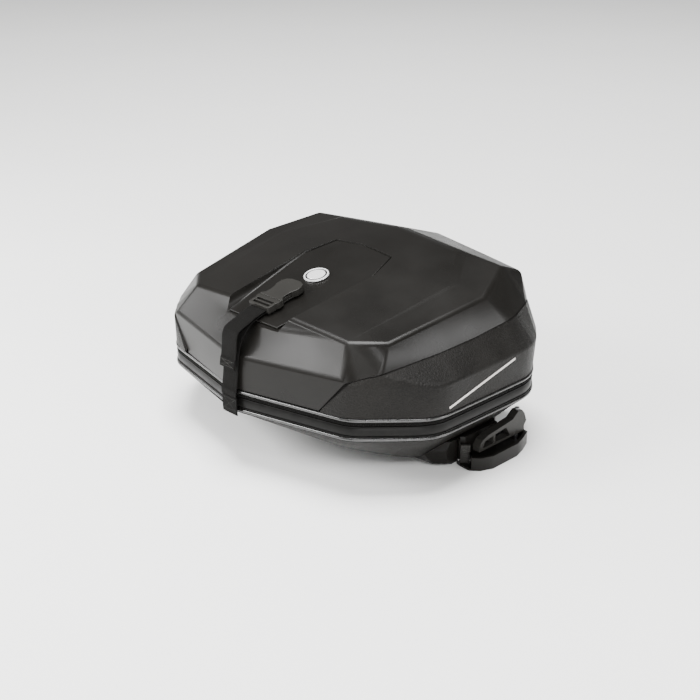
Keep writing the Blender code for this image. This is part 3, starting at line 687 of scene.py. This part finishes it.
def make_badge():
    """Plain round badge: silver rim, one dark ring and a plain silver disc."""
    face = max(NODES["badge_disc"].data.polygons, key=lambda f: (round(f.area, 8), f.center.z))
    normal = face.normal.copy()
    if normal.z < 0:
        normal.negate()
    low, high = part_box("badge_base")
    centre = (low + high) / 2
    radius = (high.x - low.x) / 2
    rim = [(0, -0.0004), (radius, -0.0004), (radius, 0.0003), (radius - 0.0005, 0.0011),
           (radius - 0.0013, 0.0013), (radius - 0.0020, 0.0010), (radius - BADGE_RIM, 0.0004), (0, 0.0004)]
    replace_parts(lathe("badge_rim", rim, centre, normal, "silver_trim", "lid"), "badge_base")
    plate = [(0, 0.0003), (radius - BADGE_RIM, 0.0003), (radius - BADGE_RIM, 0.0007), (0, 0.0007)]
    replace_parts(lathe("badge_plate", plate, centre, normal, "badge_enamel", "lid"), "badge_disc")
    middle = radius * BADGE_MIDDLE
    dome = [(0, 0.0005), (middle, 0.0005), (middle, 0.0009), (middle * 0.97, 0.0012),
            (middle * 0.5, 0.0014), (0, 0.0015)]
    lathe("badge_dome", dome, centre, normal, "silver_trim", "lid")


# ---------------------------------------------------------------- webbing

def strap_route(node):
    """The middle line of a strap in side view, from the corners of its CAD solid, top end first."""
    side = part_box(node)[1].x
    bm = node_bmesh(node)
    corners = [v.co.copy() for v in bm.verts if abs(v.co.x - side) < 1e-5]
    corners.sort(key=lambda c: -(c.y + c.z))
    bm.free()
    return [(a + b) / 2 for a, b in zip(corners[::2], corners[1::2])]


def smooth_route(points, step):
    """A Catmull-Rom curve through the points."""
    out = []
    for i in range(len(points) - 1):
        p0, p1 = points[max(i - 1, 0)], points[i]
        p2, p3 = points[i + 1], points[min(i + 2, len(points) - 1)]
        count = max(2, round((p2 - p1).length / step))
        for k in range(count):
            t = k / count
            out.append(0.5 * (2 * p1 + (p2 - p0) * t + (2 * p0 - 5 * p1 + 4 * p2 - p3) * t ** 2
                              + (3 * p1 - p0 - 3 * p2 + p3) * t ** 3))
    return out + [points[-1]]


def web_section(half, thick):
    """Half-round edges and a slight crown, as (across, up) pairs."""
    upper = [(-1.0, 0.0), (-0.985, 0.6), (-0.95, 0.95), (-0.6, 1.0), (0.0, 1.06),
             (0.6, 1.0), (0.95, 0.95), (0.985, 0.6), (1.0, 0.0)]
    lower = [(a, -b) for a, b in reversed(upper[1:-1])]
    return [(a * half, b * thick / 2) for a, b in upper + lower]


def make_strap(node, name, hem=0.0):
    """Woven strap along its CAD solid's route, made thicker over the length of a hem at its lower end."""
    low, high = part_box(node)
    middle_x, half = (low.x + high.x) / 2, (high.x - low.x) / 2
    route = [Vector((middle_x, p.y, p.z)) for p in smooth_route(strap_route(node), ROUTE_STEP)]
    left = sum((b - a).length for a, b in zip(route, route[1:]))
    section = web_section(half, WEB_THICK)
    bm = bmesh.new()
    rows, frames = [], []
    for i, p in enumerate(route):
        along = (route[min(i + 1, len(route) - 1)] - route[max(i - 1, 0)]).normalized()
        normal = along.cross(Vector((1, 0, 0))).normalized()
        if normal.y > 0:
            normal.negate()
        grow = 1.0 + HEM_SWELL * max(0.0, min(1.0, (hem - left) / 0.001)) if hem else 1.0
        centre = p + normal * (grow - 1.0) * WEB_THICK / 2
        rows.append([bm.verts.new(centre + Vector((a, 0, 0)) + normal * b * grow) for a, b in section])
        frames.append((centre, along, normal, grow))
        if i + 1 < len(route):
            left -= (route[i + 1] - p).length
    for a, b in zip(rows, rows[1:]):
        for j in range(len(section)):
            k = (j + 1) % len(section)
            bm.faces.new((a[j], a[k], b[k], b[j]))
    bm.faces.new(rows[0])
    bm.faces.new(rows[-1])
    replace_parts(add_object(name, bm, "webbing", NODES[node]["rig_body"], 50.0), node)
    return frames, half


def make_stitches(name, frames, half, steps, body):
    """Rows of thread across a strap, some steps back from its lower end, joined by crossing diagonals."""
    bm = bmesh.new()

    def stitch(place, direction, normal):
        turn = Matrix((direction, normal.cross(direction), normal)).transposed().to_4x4()
        size = Matrix.Diagonal(STITCH_SIZE)
        bmesh.ops.create_icosphere(bm, subdivisions=1, radius=1.0,
                                   matrix=Matrix.Translation(place) @ turn @ size)

    reach = half - STITCH_MARGIN
    side = Vector((1, 0, 0))
    for back in steps:
        centre, _, normal, grow = frames[-1 - back]
        for i in range(9):
            x = -reach + 2 * reach * i / 8
            stitch(centre + side * x + normal * WEB_THICK * STITCH_LIFT * grow, side, normal)
    first, last = frames[-1 - steps[0]], frames[-1 - steps[-1]]
    for sign in (1, -1):
        run = (last[0] - first[0]) + side * 2 * reach * sign
        for i in range(1, 9):
            t = i / 9
            normal = first[2].lerp(last[2], t).normalized()
            place = first[0].lerp(last[0], t) + side * sign * reach * (2 * t - 1)
            flat = (run - normal * run.dot(normal)).normalized()
            stitch(place + normal * WEB_THICK * STITCH_LIFT * first[3], flat, normal)
    add_object(name, bm, "thread", body, 60.0)


def make_straps():
    """The over-strap, its loose tail, its sewn lower end and the loop that holds the socket."""
    make_strap("strap_webbing", "strap_main")
    frames, half = make_strap("strap_tail", "strap_loose_tail", hem=0.011)
    make_stitches("tail_stitches", frames, half, (2, 6), "strap")
    frames, half = make_strap("strap_anchor", "strap_sewn_end")
    make_stitches("anchor_stitches", frames, half, (3, 11), "base")
    make_strap("socket_tab", "socket_loop")


# ---------------------------------------------------------------- latch details

def make_tab_ribs(label, side):
    """Grip ribs across the outer face of the lock tab."""
    outward = Vector((side, -1, 0)).normalized()
    along = Vector((side, 1, 0)).normalized()
    corners = [v.co for v in NODES[f"lock_tab_{label}"].data.vertices]
    face = max(c.dot(outward) for c in corners)
    front = [c for c in corners if c.dot(outward) > face - 0.0003]
    left, right = min(c.dot(along) for c in front), max(c.dot(along) for c in front)
    low, high = min(c.z for c in front), max(c.z for c in front)
    bm = bmesh.new()
    turn = Matrix((along, UP, outward)).transposed().to_4x4()
    for i in range(TAB_RIBS):
        z = low + (high - low) * (0.12 + 0.76 * i / (TAB_RIBS - 1))
        place = outward * face + along * (left + right) / 2 + UP * z
        size = Matrix.Diagonal(((right - left) * 0.8, RIB_SIZE, RIB_SIZE, 1.0))
        bmesh.ops.create_cube(bm, size=1.0, matrix=Matrix.Translation(place) @ turn @ size)
    bmesh.ops.bevel(bm, geom=bm.edges[:], offset=0.0003, offset_type="OFFSET", segments=2, profile=0.5,
                    affect="EDGES")
    add_object(f"tab_ribs_{label}", bm, "nylon", f"tab_{label}")


# ---------------------------------------------------------------- camera, light, floor

def aim(obj, place, target):
    """Puts a camera or light at a place and turns it toward a target."""
    obj.location = place
    obj.rotation_euler = (Vector(target) - Vector(place)).to_track_quat("-Z", "Y").to_euler()


def make_camera():
    """The camera at the photo's angle."""
    data = bpy.data.cameras.new("camera")
    data.lens = CAMERA_LENS
    data.sensor_width = CAMERA_SENSOR
    camera = bpy.data.objects.new("camera", data)
    bpy.context.scene.collection.objects.link(camera)
    aim(camera, CAMERA_PLACE, CAMERA_TARGET)
    bpy.context.scene.camera = camera


def area_light(name, place, size, power, target=(0, 0, 0.1)):
    """A soft rectangular light aimed at the bag."""
    data = bpy.data.lights.new(name, "AREA")
    data.shape = "RECTANGLE"
    data.size, data.size_y = size
    data.energy = power
    light = bpy.data.objects.new(name, data)
    bpy.context.scene.collection.objects.link(light)
    aim(light, place, target)


def make_studio():
    """Pale floor, dim even surroundings and soft lights."""
    bpy.ops.mesh.primitive_plane_add(size=12, location=(0, 0, -0.0002))
    floor = bpy.context.object
    floor.name = "studio_floor"
    floor.data.materials.append(floor_material())
    world = bpy.data.worlds.new("studio")
    world.use_nodes = True
    background = world.node_tree.nodes["Background"]
    background.inputs["Color"].default_value = (1, 1, 1, 1)
    background.inputs["Strength"].default_value = 0.22
    bpy.context.scene.world = world
    area_light("overhead", (-0.4, 0.2, 5.0), (2.5, 2.5), 620)
    area_light("front", (-0.6, -1.2, 0.95), (0.8, 0.6), 38)
    area_light("left", (-1.4, -0.65, 0.62), (0.7, 0.5), 9)
    area_light("behind_camera", (1.15, -1.2, 1.3), (1.1, 0.2), 9)
    area_light("low_strip", (1.5, -1.17, 0.24), (1.2, 0.1), 16)
    area_light("right_high", (1.5, -0.42, 1.1), (0.12, 0.5), 8)
    area_light("corner", (0.5, -1.05, 1.75), (0.5, 0.3), 4)
    area_light("side", (1.5, 0.52, 0.5), (0.6, 0.4), 11)


# How far each CAD node's own edges are rounded.
REFINED = {
    "lower_shell": 0.0012, "base_bracket": 0.002, "centre_insert": 0.0008, "floor_stiffener": 0.0006,
    "buckle_socket": 0.0009, "buckle_plug": 0.0006, "buckle_arm_right": 0.0004, "buckle_arm_left": 0.0004,
    "latch_housing_right": 0.0011, "latch_housing_left": 0.0011, "latch_lever_right": 0.0009,
    "latch_lever_left": 0.0009, "lock_tab_right": 0.0004, "lock_tab_left": 0.0004,
    "latch_cam_right": 0.0003, "latch_cam_left": 0.0003, "zip_slider_front": 0.0003,
    "zip_slider_rear": 0.0003, "zip_pull_front": 0.0004, "zip_pull_rear": 0.0004,
}
SLOTS = {entry["node"]: entry["material_slot"] for entry in frame["record"]["subparts"]}


def dress_nodes():
    """Gives each CAD node the material of its slot."""
    for node, slot in SLOTS.items():
        materials = NODES[node].data.materials
        materials.clear()
        materials.append(MATS[slot])


def main():
    """Builds the scene in a fixed order."""
    dress_nodes()
    make_camera()
    make_studio()
    rim = make_cover()
    for label, side in (("right", 1), ("left", -1)):
        surface = make_panel(f"side_panel_{label}", f"side_panel_{label}_moulding", rim)
        make_stripe(label, side, surface)
        make_tab_ribs(label, side)
    make_panel("rear_panel", "rear_panel_moulding", rim)
    make_pipings()
    make_band()
    make_tapes()
    make_teeth()
    make_hinge_cloth()
    make_badge()
    make_straps()
    for node, width in REFINED.items():
        refine(node, width)


main()
